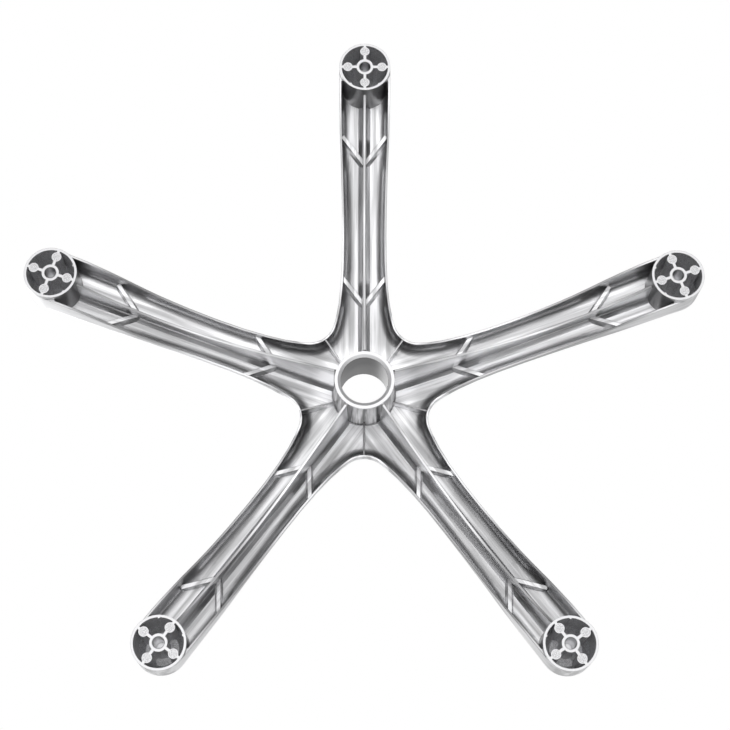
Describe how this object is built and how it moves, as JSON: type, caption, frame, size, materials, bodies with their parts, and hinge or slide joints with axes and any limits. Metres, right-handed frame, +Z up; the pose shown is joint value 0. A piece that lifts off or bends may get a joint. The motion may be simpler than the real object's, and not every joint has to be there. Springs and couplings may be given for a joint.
{
  "type": "chair base",
  "caption": "Cast aluminium star base for a swivel chair, with channel-section arms ribbed underneath, castor sockets in the feet and a tapered gas-lift socket in the hub.",
  "frame": {"origin": "on the hub axis, in the plane of the five foot faces that it stands on", "axes": "+Z up along the hub axis towards the seat, -Y along the first arm, X across it"},
  "size_m": [0.6908, 0.6596, 0.092],
  "materials": {
    "cast_aluminium": "bright polished casting with machined foot and hub faces"
  },
  "bodies": {
    "root": {"chair_base": "cast_aluminium"}
  },
  "joints": []
}
